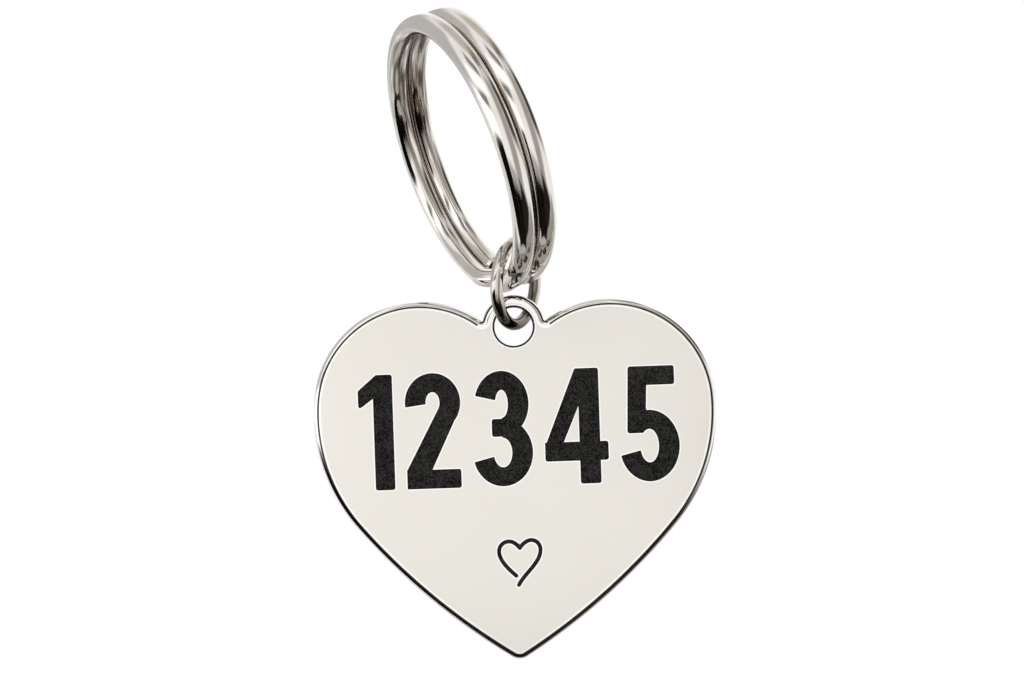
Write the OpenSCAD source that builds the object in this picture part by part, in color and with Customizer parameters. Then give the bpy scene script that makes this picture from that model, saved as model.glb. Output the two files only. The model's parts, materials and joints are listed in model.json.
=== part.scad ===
// Heart-shaped pet tag, hung by a jump ring from a two-turn split ring.
// Millimetres. X points right, Y points away from the viewer and Z points up.
// The origin is where a collar's loop carries the split ring: inside its top, midway between the turns.

/* [Split ring] */
// Outer diameter of the split ring
ring_d = 22.65; // [20:0.05:26]
// Diameter of the split ring's spring wire
wire_d = 1.55; // [1.3:0.05:1.8]
// Gap between the two turns
turn_gap = 0.42; // [0.41:0.01:0.6]
// Half of the angle over which the wire steps from one turn to the other
step_half_angle = 9; // [7:1:14]
// Place of the step's middle, as an angle from the ring's bottom towards the viewer
step_at = -16; // [-40:1:10]
// Angle between the step and each end of the wire
end_angle = 4; // [4:0.5:10]
// Chamfer round each end of the wire
end_chamfer = 0.2; // [0.1:0.05:0.3]
// Turn of the ring's axis away from the X axis, seen from above
ring_turn = 21.1; // [10:0.1:30]
// Rise of the ring's axis above the level
ring_lean = 22.95; // [15:0.05:28]

/* [Jump ring] */
// Diameter of the jump ring's wire
jump_wire_d = 1; // [0.8:0.05:1.1]
// Room inside the jump ring, beyond the two turns that it goes round
jump_slack = 0.36; // [0.3:0.01:0.6]
// Width of the closed butt joint
butt_gap = 0.06; // [0.04:0.01:0.1]
// Place of the butt joint, as an angle from the jump ring's bottom
butt_at = 128; // [100:1:160]
// Turn of the jump ring's axis away from the X axis, seen from above
jump_turn = -28; // [-32:0.5:-20]
// Fall of the jump ring's axis below the level
jump_lean = 4.6; // [0:0.1:8]
// Place on the split ring, as an angle from its bottom towards the viewer
jump_at = 5.8; // [3:0.1:8]
// Distance of the jump ring's centre below the middle of the wire that it hangs on
jump_drop = 0.365; // [0.3:0.005:0.45]
// Shift of the jump ring's centre towards the front turn
jump_shift = 0.276; // [0.2:0.002:0.35]

/* [Tag] */
// Width of the heart
tag_w = 32.5; // [29:0.1:36]
// Height of the heart, from the tops of its lobes to its tip
heart_h = 28.9; // [27.5:0.1:31]
// Thickness of the plate
tag_t = 1.4; // [1.2:0.05:1.6]
// Radius of each lobe's top
lobe_r = 8.6; // [8:0.05:9.2]
// Radius of each shoulder, where the heart is widest
shoulder_r = 14.2; // [13:0.1:15.4]
// Angle above the level where a lobe runs into a shoulder
shoulder_start = 4; // [2:1:10]
// Angle below the level where a shoulder runs into a flank
flank_start = 40.5; // [38:0.5:42]
// Radius of the tip
tip_r = 1.2; // [0.9:0.05:1.8]
// Radius of the rounded and polished rim on both faces
rim_r = 0.55; // [0.4:0.05:0.59]
// Roll of the hanging tag about the level line through its hole
tag_roll = 1.1; // [0:0.1:2]

/* [Lug] */
// Diameter of the hole in the lug
hole_d = 3.1; // [2.9:0.05:3.4]
// Wall of the lug round its hole
lug_wall = 1; // [0.85:0.05:1.1]
// Height of the lobes' tops above the hole's centre
lobe_rise = 2.15; // [1.9:0.05:2.4]
// Chamfer on both rims of the hole
hole_chamfer = 0.15; // [0.1:0.05:0.25]
// Least radius of the notch where the lug meets a lobe
notch_r = 0.08; // [0.05:0.01:0.3]
// Distance of the hole's centre below the middle of the wire that passes through it
hang_drop = 0.19; // [0.1:0.01:0.25]
// Shift of the hole's centre to the left of the jump ring's centre
hang_shift = 0.25; // [0.2:0.01:0.35]
// Shift of the plate's middle in front of the jump ring's centre
hang_forward = 0.1; // [0:0.01:0.2]

/* [Line heart] */
// Width of the small engraved heart, between the middles of its lines
line_heart_w = 3.32; // [2.6:0.02:4]
// Width of the engraved line
line_w = 0.33; // [0.25:0.01:0.45]
// Depth of the engraving
groove_depth = 0.2; // [0.1:0.02:0.3]
// Depth of the filling's surface below the plate's face
fill_sink = 0.03; // [0.02:0.01:0.05]
// Gap between the filling and the walls of its groove
fill_gap = 0.01; // [0.01:0.005:0.02]
// Distance of the small heart's middle to the right of the tag's middle line
line_heart_x = 0.16; // [-1:0.02:1]
// Distance of the small heart's middle below the hole's centre
line_heart_down = 18.7; // [17:0.1:20]

/* [Hidden] */

// Steps and sides of the faceted forms
turn_steps = 66;
step_steps = 12;
wire_sides = 16;
rim_steps = 5;
lug_steps = 20;
notch_steps = 5;
lobe_steps = 20;
shoulder_steps = 12;
flank_steps = 6;
tip_steps = 8;
line_steps = 7;
cap_steps = 6;
round_faces = 96;

// Reach of every cut past the face that it opens
overrun = 0.5;

// Split ring
wire_r = wire_d / 2;
ring_mid_r = ring_d / 2 - wire_r;
turn_x = (wire_d + turn_gap) / 2;
bundle_half_w = turn_x + wire_r;
turn_angle = 360 - 2 * step_half_angle - end_angle;
ring_drop = ring_mid_r - wire_r;

// Directions of the tilted split ring and of the jump ring, from their own axes
function ring_out(v) = turn_about_z(lean_about_y(v, -ring_lean), ring_turn);
function jump_out(v) = turn_about_z(lean_about_y(v, jump_lean), jump_turn);
function lean_about_y(v, a) =
    [v.x * cos(a) + v.z * sin(a), v.y, v.z * cos(a) - v.x * sin(a)];
function turn_about_z(v, a) =
    [v.x * cos(a) - v.y * sin(a), v.x * sin(a) + v.y * cos(a), v.z];

// A point of the split ring's own frame: its axis is X, and the angle runs from the bottom to the front
function ring_spot(x, r, a) = [x, -r * sin(a), -r * cos(a)];
ring_centre = ring_out([0, 0, -ring_drop]);

// Jump ring: its inside clears the two turns, which it crosses at a slant
jump_wire_r = jump_wire_d / 2;
turns_run = ring_out([0, -cos(jump_at), sin(jump_at)]);
slant_share = turns_run * jump_out([1, 0, 0]);
jump_mid_r = bundle_half_w / slant_share + jump_slack + jump_wire_r;
jump_centre = ring_centre + ring_out(ring_spot(-jump_shift, ring_mid_r + jump_drop, jump_at));

// Tag, seen from the front with the hole's centre as its origin
hole_r = hole_d / 2;
lug_r = hole_r + lug_wall;
hole_centre = jump_centre - [hang_shift, hang_forward, jump_mid_r + hang_drop];
shoulder_x = tag_w / 2 - shoulder_r;
lobe_spot = [shoulder_x + (shoulder_r - lobe_r) * cos(shoulder_start), lobe_rise - lobe_r];
shoulder_spot = [shoulder_x, lobe_spot.y - (shoulder_r - lobe_r) * sin(shoulder_start)];
tip_spot = [0, lobe_rise - heart_h + tip_r];

// The flank's arc leaves the shoulder along flank_start and runs into the tip's arc, and both fix its radius.
// On a long heart the flank is hollow, its radius is below zero and its centre lies outside the tag
flank_way = [cos(flank_start), -sin(flank_start)];
to_tip = tip_spot - shoulder_spot;
flank_r = (to_tip * to_tip - 2 * shoulder_r * (to_tip * flank_way) + shoulder_r ^ 2 - tip_r ^ 2)
    / (2 * (shoulder_r - tip_r - to_tip * flank_way));
flank_spot = shoulder_spot - (flank_r - shoulder_r) * flank_way;
flank_end = atan2(sign(flank_r) * (flank_spot.y - tip_spot.y), sign(flank_r) * (tip_spot.x - flank_spot.x));

// Points of an arc, without its last one
function arc(spot, r, from, to, steps) =
    [for (i = [0 : steps - 1]) let (a = from + (to - from) * i / steps) spot + r * [cos(a), sin(a)]];
function mirrored(spot) = [-spot.x, spot.y];

// The notch's arc touches the lug and a lobe from outside, so its centre lies where two wider circles cross.
// Where the lobes stand clear of the lug, its radius is over half of the gap that it bridges
saddle_share = 0.6;
lobe_away = norm(lobe_spot);
saddle_r = max(notch_r, saddle_share * (lobe_away - lug_r - lobe_r));
lug_reach = lug_r + saddle_r;
lobe_reach = lobe_r + saddle_r;
lug_notch = atan2(lobe_spot.y, lobe_spot.x)
    + acos((lug_reach ^ 2 + lobe_away ^ 2 - lobe_reach ^ 2) / (2 * lug_reach * lobe_away));
notch_spot = lug_reach * [cos(lug_notch), sin(lug_notch)];
lobe_notch = atan2(notch_spot.y - lobe_spot.y, notch_spot.x - lobe_spot.x);

// The tag's outline, drawn in from its edge by one distance all round: lug, lobes, shoulders, flanks and tip
function tag_outline(inset) =
    concat(
        arc([0, 0], lug_r - inset, lug_notch, 180 - lug_notch, lug_steps),
        arc(mirrored(notch_spot), saddle_r + inset, 360 - lug_notch, 360 - lobe_notch, notch_steps),
        arc(mirrored(lobe_spot), lobe_r - inset, 180 - lobe_notch, 180 - shoulder_start, lobe_steps),
        arc(mirrored(shoulder_spot), shoulder_r - inset,
            180 - shoulder_start, 180 + flank_start, shoulder_steps),
        arc(mirrored(flank_spot), flank_r - inset, 180 + flank_start, 180 + flank_end, flank_steps),
        arc(tip_spot, tip_r - inset, 180 + flank_end, 360 - flank_end, tip_steps),
        arc(flank_spot, flank_r - inset, 360 - flank_end, 360 - flank_start, flank_steps),
        arc(shoulder_spot, shoulder_r - inset, -flank_start, shoulder_start, shoulder_steps),
        arc(lobe_spot, lobe_r - inset, shoulder_start, lobe_notch, lobe_steps),
        arc(notch_spot, saddle_r + inset, lobe_notch - 180, lug_notch - 180, notch_steps)
    );

// A closed skin over rows of points with one count each.
// Each end is a fan from a middle point that sees its whole row
module skin(rows, start, end) {
    n = len(rows[0]);
    m = len(rows);
    polyhedron(
        points = concat([for (row = rows) for (p = row) p], [start, end]),
        faces = concat(
            [for (j = [0 : n - 1]) [m * n, (j + 1) % n, j]],
            [for (i = [0 : m - 2]) for (j = [0 : n - 1]) let (k = (j + 1) % n)
                each [
                    [i * n + j, i * n + k, (i + 1) * n + j],
                    [i * n + k, (i + 1) * n + k, (i + 1) * n + j]
                ]],
            [for (j = [0 : n - 1]) [m * n + 1, (m - 1) * n + j, (m - 1) * n + (j + 1) % n]]
        )
    );
}

// Split ring's wire: round the front turn, across the step, and round the back turn
step_end = step_at + step_half_angle;
wire_angles = concat(
    [for (i = [0 : turn_steps]) step_end + end_angle + turn_angle * i / turn_steps],
    [for (i = [1 : step_steps - 1]) step_end + end_angle + turn_angle + 2 * step_half_angle * i / step_steps],
    [for (i = [0 : turn_steps]) step_end + 360 + turn_angle * i / turn_steps]
);
step_middle = step_at + 360;

// How far the wire has stepped over at an angle, from 0 to 1, with a smooth start and end
function stepped_share(a) =
    let (s = min(1, max(0, (a - step_middle) / (2 * step_half_angle) + 1 / 2))) s * s * (3 - 2 * s);
function wire_spot(a) = ring_spot(turn_x * (2 * stepped_share(a) - 1), ring_mid_r, a);
function wire_way(a) = let (d = wire_spot(a + end_angle / 8) - wire_spot(a - end_angle / 8)) d / norm(d);

// One section of the wire, square to its run
function wire_section(a, r) =
    let (out = ring_spot(0, 1, a), side = cross(wire_way(a), out))
    [for (j = [0 : wire_sides - 1]) let (t = 360 * j / wire_sides)
        ring_out(wire_spot(a) + r * (cos(t) * out + sin(t) * side)) + ring_centre];

// Least gap of the wire to itself, measured every two degrees between runs half a turn or more apart
measured_spots = [for (a = [wire_angles[0] : 2 : wire_angles[len(wire_angles) - 1]]) wire_spot(a)];
least_gap = min([for (i = [0 : len(measured_spots) - 91]) for (j = [i + 90 : len(measured_spots) - 1])
    norm(measured_spots[i] - measured_spots[j])]) - wire_d;
echo(least_gap_of_split_ring_wire = least_gap);

module split_ring() {
    first = wire_angles[0];
    last = wire_angles[len(wire_angles) - 1];
    chamfer_angle = end_chamfer / ring_mid_r * 180 / PI;
    inner = [for (a = wire_angles) if (a > first + chamfer_angle && a < last - chamfer_angle) a];
    sections = concat(
        [wire_section(first, wire_r - end_chamfer), wire_section(first + chamfer_angle, wire_r)],
        [for (a = inner) wire_section(a, wire_r)],
        [wire_section(last - chamfer_angle, wire_r), wire_section(last, wire_r - end_chamfer)]
    );
    color("silver")
        skin(sections, ring_out(wire_spot(first)) + ring_centre, ring_out(wire_spot(last)) + ring_centre);
}

module jump_ring() {
    butt_angle = butt_gap / jump_mid_r * 180 / PI;
    color("gainsboro") translate(jump_centre) rotate([0, jump_lean, jump_turn]) rotate([0, 90, 0])
        rotate([0, 0, butt_at + butt_angle / 2]) rotate_extrude(angle = 360 - butt_angle, $fn = round_faces)
            translate([jump_mid_r, 0]) circle(r = jump_wire_r, $fn = round_faces / 2);
}

// Places a form of the tag, drawn from the front, on the hanging tag
module hang() {
    translate(hole_centre) rotate([0, -tag_roll, 0]) children();
}

// Rounded rim on the back, straight edge, rounded rim on the front
rim_turns = [for (i = [0 : rim_steps]) 90 * i / rim_steps];
rim_profile = concat(
    [for (a = rim_turns) [rim_r * (1 - sin(a)), tag_t / 2 - rim_r * (1 - cos(a))]],
    [for (a = rim_turns) [rim_r * (1 - cos(a)), rim_r * (1 - sin(a)) - tag_t / 2]]
);

module lug_hole() {
    rotate([90, 0, 0]) {
        cylinder(r = hole_r, h = tag_t + 2 * overrun, center = true, $fn = round_faces);
        for (side = [-1, 1])
            scale([1, 1, side]) translate([0, 0, tag_t / 2 - hole_chamfer])
            cylinder(
                r1 = hole_r, r2 = hole_r + hole_chamfer + overrun,
                h = hole_chamfer + overrun, $fn = round_faces
            );
    }
}

// Small heart drawn with one open line, in shares of its width from its middle: two strokes from the cleft
cleft_share = [0, 0.294];
left_stroke_shares = [
    [cleft_share, [-0.07, 0.385], [-0.158, 0.455], [-0.258, 0.455]],
    [[-0.258, 0.455], [-0.395, 0.455], [-0.501, 0.35], [-0.501, 0.217]],
    [[-0.501, 0.217], [-0.501, 0.005], [-0.285, -0.21], [-0.096, -0.373]]
];
right_stroke_shares = [
    [cleft_share, [0.07, 0.395], [0.172, 0.48], [0.282, 0.48]],
    [[0.282, 0.48], [0.412, 0.48], [0.499, 0.372], [0.499, 0.243]],
    [[0.499, 0.243], [0.499, -0.06], [0.115, -0.31], [-0.036, -0.595]]
];

function bezier(c, t) =
    let (u = 1 - t) u * u * u * c[0] + 3 * u * u * t * c[1] + 3 * u * t * t * c[2] + t * t * t * c[3];
function bezier_way(c, t) =
    let (u = 1 - t, d = u * u * (c[1] - c[0]) + 2 * u * t * (c[2] - c[1]) + t * t * (c[3] - c[2]))
    d / norm(d);

// A line of one width with round ends along a chain of curves, less a gap all round
module stroke(curves, gap) {
    r = line_w / 2 - gap;
    last = len(curves) - 1;
    spots = concat(
        [for (k = [0 : last]) for (i = [0 : line_steps - 1]) [curves[k], i / line_steps]], [[curves[last], 1]]
    );
    mids = [for (s = spots) line_heart_w * bezier(s[0], s[1])];
    ways = [for (s = spots) bezier_way(s[0], s[1])];
    sides = [for (w = ways) [-w.y, w.x]];
    n = len(mids) - 1;
    cap_turns = [for (i = [1 : cap_steps - 1]) 180 * i / cap_steps];
    polygon(concat(
        [for (i = [0 : n]) mids[i] + r * sides[i]],
        [for (a = cap_turns) mids[n] + r * (cos(a) * sides[n] + sin(a) * ways[n])],
        [for (i = [n : -1 : 0]) mids[i] - r * sides[i]],
        [for (a = cap_turns) mids[0] - r * (cos(a) * sides[0] + sin(a) * ways[0])]
    ));
}

// The line heart's form, from a depth below the tag's face up to a height over it
module line_heart(depth, height, gap) {
    translate([line_heart_x, depth - tag_t / 2, -line_heart_down]) rotate([90, 0, 0])
        linear_extrude(height = depth + height) {
            stroke(left_stroke_shares, gap);
            stroke(right_stroke_shares, gap);
        }
}

module tag_plate() {
    color("whitesmoke") hang() difference() {
        skin(
            [for (p = rim_profile) [for (q = tag_outline(p.x)) [q.x, p.y, q.y]]],
            [0, tag_t / 2, lobe_spot.y], [0, -tag_t / 2, lobe_spot.y]
        );
        lug_hole();
        line_heart(groove_depth, overrun, 0);
    }
}

module heart_line_enamel() {
    color("black") hang() line_heart(groove_depth, -fill_sink, fill_gap);
}

split_ring();
jump_ring();
tag_plate();
heart_line_enamel();
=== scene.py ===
# %% [markdown]
# # A heart tag on two rings
# The object is a pet's id tag: a heart-shaped plate of pale metal with black numbers, hung by a small
# jump ring from a split ring that goes on a collar. The engineering model gives every size and place. This
# lesson dresses it: smooth wires, a plate with a rounded rim and engraved numbers, metal and enamel
# finishes, and the light tent that polished metal needs.

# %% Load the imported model
import json
from math import acos, atan2, ceil, cos, degrees, hypot, pi, radians, sin, tan

import bpy
from mathutils import Matrix, Vector
from mathutils.geometry import delaunay_2d_cdt
from mathutils.noise import noise as slow_noise

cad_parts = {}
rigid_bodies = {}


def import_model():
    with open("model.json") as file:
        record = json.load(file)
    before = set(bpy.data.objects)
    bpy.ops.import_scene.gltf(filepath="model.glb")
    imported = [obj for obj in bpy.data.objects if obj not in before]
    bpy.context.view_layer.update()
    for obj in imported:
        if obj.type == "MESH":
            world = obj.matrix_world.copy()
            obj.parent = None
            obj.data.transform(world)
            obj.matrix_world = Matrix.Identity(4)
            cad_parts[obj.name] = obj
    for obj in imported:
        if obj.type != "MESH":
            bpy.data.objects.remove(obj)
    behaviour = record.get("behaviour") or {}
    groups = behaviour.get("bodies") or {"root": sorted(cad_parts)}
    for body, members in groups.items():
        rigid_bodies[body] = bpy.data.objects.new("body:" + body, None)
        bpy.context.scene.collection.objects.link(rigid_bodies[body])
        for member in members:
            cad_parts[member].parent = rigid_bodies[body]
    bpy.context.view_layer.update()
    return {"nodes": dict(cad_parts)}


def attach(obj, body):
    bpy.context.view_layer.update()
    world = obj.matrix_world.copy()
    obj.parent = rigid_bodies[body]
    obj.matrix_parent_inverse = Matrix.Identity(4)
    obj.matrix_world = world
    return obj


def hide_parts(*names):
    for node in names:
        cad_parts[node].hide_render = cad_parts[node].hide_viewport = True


for leftover in list(bpy.data.objects):
    bpy.data.objects.remove(leftover)
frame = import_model()
MM = 0.001
print("nodes:", sorted(frame["nodes"]))

# %% [markdown]
# ## Where everything hangs
# All places follow from the rings. The split ring stands tilted, its inside top at the origin, where a
# collar carries it. The jump ring goes round both of its turns, and the tag hangs in the jump ring. The
# pieces could be placed by eye against the solids, but the sizes below are the model's own, so that each
# dressed piece lies exactly where its solid does. They are millimetres, and become metres only when a mesh
# is made.

# %% Sizes of the split ring
# Angles are degrees. Those that end in AT run round a ring, from its bottom towards the viewer.
RING_D = 22.65
WIRE_D = 1.55
TURN_GAP = 0.42
STEP_HALF_ANGLE = 9
STEP_AT = -16
END_ANGLE = 4
END_CHAMFER = 0.2
RING_TURN = 21.1
RING_LEAN = 22.95
print("split ring:", RING_D, "mm across, of", WIRE_D, "mm wire")

# %% Sizes of the jump ring
JUMP_WIRE_D = 1.0
JUMP_SLACK = 0.36
JUMP_AT = 5.8
JUMP_DROP = 0.365
JUMP_SHIFT = 0.276
BUTT_GAP = 0.06
BUTT_AT = 128
JUMP_TURN = -28
JUMP_LEAN = -4.6
print("jump ring:", JUMP_WIRE_D, "mm wire, with a gap of", BUTT_GAP, "mm")


# %% How a ring lies
def lying(turn, lean):
    """The lie of a ring whose axis starts along X: it leans about Y, then turns about the upright."""
    return Matrix.Rotation(radians(turn), 3, "Z") @ Matrix.Rotation(radians(-lean), 3, "Y")


RING_LIE = lying(RING_TURN, RING_LEAN)
JUMP_LIE = lying(JUMP_TURN, JUMP_LEAN)
print("split ring's axis:", [round(v, 3) for v in RING_LIE.col[0]])

# %% Centres of the rings
def ring_spot(x, r, angle):
    """A point round an axis along X: the angle runs from the bottom towards the viewer, in degrees."""
    return Vector((x, -r * sin(radians(angle)), -r * cos(radians(angle))))


ring_r = (RING_D - WIRE_D) / 2
turn_x = (WIRE_D + TURN_GAP) / 2
ring_centre = RING_LIE @ Vector((0, 0, WIRE_D / 2 - ring_r))
turns_run = RING_LIE @ ring_spot(0, 1, JUMP_AT + 90)
slant_share = abs(turns_run @ (JUMP_LIE @ Vector((1, 0, 0))))
jump_r = (turn_x + WIRE_D / 2) / slant_share + JUMP_SLACK + JUMP_WIRE_D / 2
jump_centre = ring_centre + RING_LIE @ ring_spot(-JUMP_SHIFT, ring_r + JUMP_DROP, JUMP_AT)
print("split ring centre, mm:", [round(v, 3) for v in ring_centre])
print("jump ring centre, mm:", [round(v, 3) for v in jump_centre])

# %% [markdown]
# ## The camera
# The photograph looks level at the tag from close by, so the camera stands 64 mm in front of the plate's
# face and looks along +Y. A wide lens gives the same perspective: the split ring's far side shrinks as it
# does in the picture. A long lens from further off would lose that.

# %% The tag's place, and the camera in front of it
PLATE_T = 1.4
HANG_SHIFT = 0.25
HANG_FORWARD = 0.1
HANG_DROP = 0.19
hole_centre = jump_centre - Vector((HANG_SHIFT, HANG_FORWARD, jump_r + HANG_DROP))
VIEW_CENTRE = (7.292, -23.817)
VIEW_DISTANCE = 64
SENSOR_W = 36
PHOTO_W_PX = 1024
FOCAL_PX = 800
camera_data = bpy.data.cameras.new("camera")
camera_data.sensor_fit = "HORIZONTAL"
camera_data.sensor_width = SENSOR_W
camera_data.lens = SENSOR_W * FOCAL_PX / PHOTO_W_PX
camera_data.clip_start = MM
camera = bpy.data.objects.new("camera", camera_data)
bpy.context.scene.collection.objects.link(camera)
face_y = hole_centre.y - PLATE_T / 2
camera.location = Vector((VIEW_CENTRE[0], face_y - VIEW_DISTANCE, VIEW_CENTRE[1])) * MM
camera.rotation_euler = (radians(90), 0, 0)
bpy.context.scene.camera = camera
print("camera at", [round(v, 4) for v in camera.location])

# %% [markdown]
# ## Helpers for meshes
# Two kinds of form make up the whole object: tubes swept along a path, and rows of points joined into a
# skin. Curves with a bevel could make the tubes, but both kinds are lists of points and faces, so one small
# builder turns them into a Blender object, welds what coincides and gives each face its finish.

# %% A mesh builder
WELD_REACH = 0.0001


class Skin:
    """Gathers points, in millimetres, and faces with a finish number, and makes one object of them."""

    def __init__(self):
        self.points = []
        self.faces = []
        self.finishes = []

    def row(self, spots):
        """Adds points and gives their numbers."""
        first = len(self.points)
        self.points += [tuple(s) for s in spots]
        return list(range(first, len(self.points)))

    def face(self, corners, finish=0):
        self.faces.append(corners)
        self.finishes.append(finish)

    def join(self, low, high, finish=0):
        """Quads between two closed rows of one length. The finish may be a function of the place in them."""
        for i in range(len(low)):
            j = (i + 1) % len(low)
            self.face([low[i], low[j], high[j], high[i]], finish(i) if callable(finish) else finish)

    def build(self, name, materials, sharp_angle=35):
        mesh = bpy.data.meshes.new(name)
        mesh.from_pydata([Vector(p) * MM for p in self.points], [], self.faces)
        for material in materials:
            mesh.materials.append(material)
        mesh.polygons.foreach_set("material_index", self.finishes)
        mesh.polygons.foreach_set("use_smooth", [True] * len(self.faces))
        piece = bpy.data.objects.new(name, mesh)
        bpy.context.scene.collection.objects.link(piece)
        weld = piece.modifiers.new("weld", "WELD")
        weld.merge_threshold = WELD_REACH * MM
        bpy.context.view_layer.update()
        shaped = bpy.data.meshes.new_from_object(piece.evaluated_get(bpy.context.evaluated_depsgraph_get()))
        piece.modifiers.clear()
        piece.data = shaped
        shaped.name = name
        shaped.set_sharp_from_angle(angle=radians(sharp_angle))
        print(name, "has", len(shaped.polygons), "faces")
        return piece


# %% Even steps, soft steps, and the way along a path
def spaced(first, last, steps):
    """Evenly spaced values from the first to the last."""
    return [first + (last - first) * i / steps for i in range(steps + 1)]


def eased(share):
    """A share from 0 to 1 that starts and ends softly."""
    share = min(1, max(0, share))
    return share * share * (3 - 2 * share)


def ways_along(path):
    """The way that a path runs at each of its points, from the point before to the point after."""
    return [(after - before).normalized() for before, after in zip(path[:1] + path, path[1:] + path[-1:])]


# %% A share of grime and painted shade for every point
def grime_and_shade(piece, share_at):
    """Gives each point of a piece its share of grime and painted shade, from its place in millimetres."""
    shares = [share_at(v.co / MM) for v in piece.data.vertices]
    piece.data.attributes.new("grime_and_shade", "FLOAT", "POINT").data.foreach_set("value", shares)
    print(piece.name, "has a mean grime share of", round(sum(shares) / len(shares), 3))


# %% A tube along a path
def tube_section(centre, run, out, r, widen, sides):
    """Points round the wire, square to its run. It may be wider along the ring's axis than across it."""
    side = run.cross(out).normalized()
    turns = spaced(0, 2 * pi, sides)[:-1]
    return [centre + r * cos(t) * out + (r + widen) * sin(t) * side for t in turns]


def tube(name, centres, outs, wire_r, widen, sides, chamfer, materials):
    """A wire with chamfered ends along a row of centres. Each centre has its way out of the ring."""
    skin = Skin()
    runs = ways_along(centres)
    start = centres[0] - chamfer * runs[0]
    end = centres[-1] + chamfer * runs[-1]
    before = skin.row(tube_section(start, runs[0], outs[0], wire_r - chamfer, widen, sides))
    skin.face(before[::-1])
    for centre, run, out in zip(centres, runs, outs):
        now = skin.row(tube_section(centre, run, out, wire_r, widen, sides))
        skin.join(before, now)
        before = now
    last = skin.row(tube_section(end, runs[-1], outs[-1], wire_r - chamfer, widen, sides))
    skin.join(before, last)
    skin.face(last)
    return skin.build(name, materials)


# %% [markdown]
# ## Finishes
# Polished metal is mostly what it reflects, so its own colour is nearly white and warm, and its detail is in
# how sharp the reflection is. Real wire has fine drawing lines along its length, a faint haze where it is
# handled, and brown grime where nobody can wipe it. The same brown to near-black mark also paints shade:
# between the wire's turns, inside the rings and at the jump ring's bottom. A painted image could hold all
# that, but noise has no seams and no pixels, and grime and painted shade follow from the place of each
# point. These effects serve several metals, so each is a node group that gives out plain colours and masks,
# placed in every material with its own values.

# %% Node helpers
def socket(group, name, way, kind="NodeSocketFloat", value=None):
    """A named input or output of a node group, with the value that it starts from."""
    made = group.interface.new_socket(name=name, in_out=way, socket_type=kind)
    if value is not None:
        made.default_value = value


def add(tree, kind, **values):
    """A new node, its properties and its input values set by name."""
    node = tree.nodes.new(kind)
    for key, value in values.items():
        if hasattr(node, key):
            setattr(node, key, value)
        else:
            node.inputs[key.replace("_", " ")].default_value = value
    return node


# %% Haze group: soft uneven patches left by handling
haze = bpy.data.node_groups.new("handling_haze", "ShaderNodeTree")
socket(haze, "Patches per Metre", "INPUT", value=900.0)
socket(haze, "Contrast", "INPUT", value=1.0)
socket(haze, "Mask", "OUTPUT")
haze_in = add(haze, "NodeGroupInput")
haze_out = add(haze, "NodeGroupOutput")
haze_place = add(haze, "ShaderNodeTexCoord")
haze_noise = add(haze, "ShaderNodeTexNoise", Detail=4.0, Roughness=0.55)
haze_range = add(haze, "ShaderNodeMapRange", From_Min=0.35, From_Max=0.65)
haze_gain = add(haze, "ShaderNodeMath", operation="MULTIPLY")
haze.links.new(haze_place.outputs["Object"], haze_noise.inputs["Vector"])
haze.links.new(haze_in.outputs["Patches per Metre"], haze_noise.inputs["Scale"])
haze.links.new(haze_noise.outputs["Fac"], haze_range.inputs["Value"])
haze.links.new(haze_range.outputs["Result"], haze_gain.inputs[0])
haze.links.new(haze_in.outputs["Contrast"], haze_gain.inputs[1])
haze.links.new(haze_gain.outputs[0], haze_out.inputs["Mask"])
print(haze.name, "has", len(haze.nodes), "nodes")

# %% Polishing lines group: hair-fine scratches that run one way
lines = bpy.data.node_groups.new("polishing_lines", "ShaderNodeTree")
socket(lines, "Lines per Metre", "INPUT", "NodeSocketVector", (6000.0, 6000.0, 300.0))
socket(lines, "Depth", "INPUT", value=0.2)
socket(lines, "Mask", "OUTPUT")
socket(lines, "Height", "OUTPUT")
lines_in = add(lines, "NodeGroupInput")
lines_out = add(lines, "NodeGroupOutput")
lines_place = add(lines, "ShaderNodeTexCoord")
lines_stretch = add(lines, "ShaderNodeVectorMath", operation="MULTIPLY")
lines_noise = add(lines, "ShaderNodeTexNoise", Scale=1.0, Detail=3.0, Roughness=0.7)
lines_range = add(lines, "ShaderNodeMapRange", From_Min=0.48, From_Max=0.75)
lines_depth = add(lines, "ShaderNodeMath", operation="MULTIPLY")
lines.links.new(lines_place.outputs["Object"], lines_stretch.inputs[0])
lines.links.new(lines_in.outputs["Lines per Metre"], lines_stretch.inputs[1])
lines.links.new(lines_stretch.outputs[0], lines_noise.inputs["Vector"])
lines.links.new(lines_noise.outputs["Fac"], lines_range.inputs["Value"])
lines.links.new(lines_range.outputs["Result"], lines_depth.inputs[0])
lines.links.new(lines_in.outputs["Depth"], lines_depth.inputs[1])
lines.links.new(lines_range.outputs["Result"], lines_out.inputs["Mask"])
lines.links.new(lines_depth.outputs[0], lines_out.inputs["Height"])
print(lines.name, "has", len(lines.nodes), "nodes")

# %% Grime and shade group: brown film that hides the metal's colour and dulls it, as grime and painted shade
film = bpy.data.node_groups.new("settled_grime_and_painted_shade", "ShaderNodeTree")
socket(film, "Clean", "INPUT", "NodeSocketColor", (0.8, 0.8, 0.8, 1))
socket(film, "Grime And Shade", "INPUT", "NodeSocketColor", (0.1, 0.07, 0.05, 1))
socket(film, "Share", "INPUT", value=0.0)
socket(film, "Clean Roughness", "INPUT", value=0.1)
socket(film, "Grime And Shade Roughness", "INPUT", value=0.12)
socket(film, "Colour", "OUTPUT", "NodeSocketColor")
socket(film, "Roughness", "OUTPUT")
film_in = add(film, "NodeGroupInput")
film_out = add(film, "NodeGroupOutput")
film_colour = add(film, "ShaderNodeMix", data_type="RGBA")
film_dullness = add(film, "ShaderNodeMapRange")
film.links.new(film_in.outputs["Share"], film_colour.inputs["Factor"])
film.links.new(film_in.outputs["Clean"], film_colour.inputs["A"])
film.links.new(film_in.outputs["Grime And Shade"], film_colour.inputs["B"])
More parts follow.
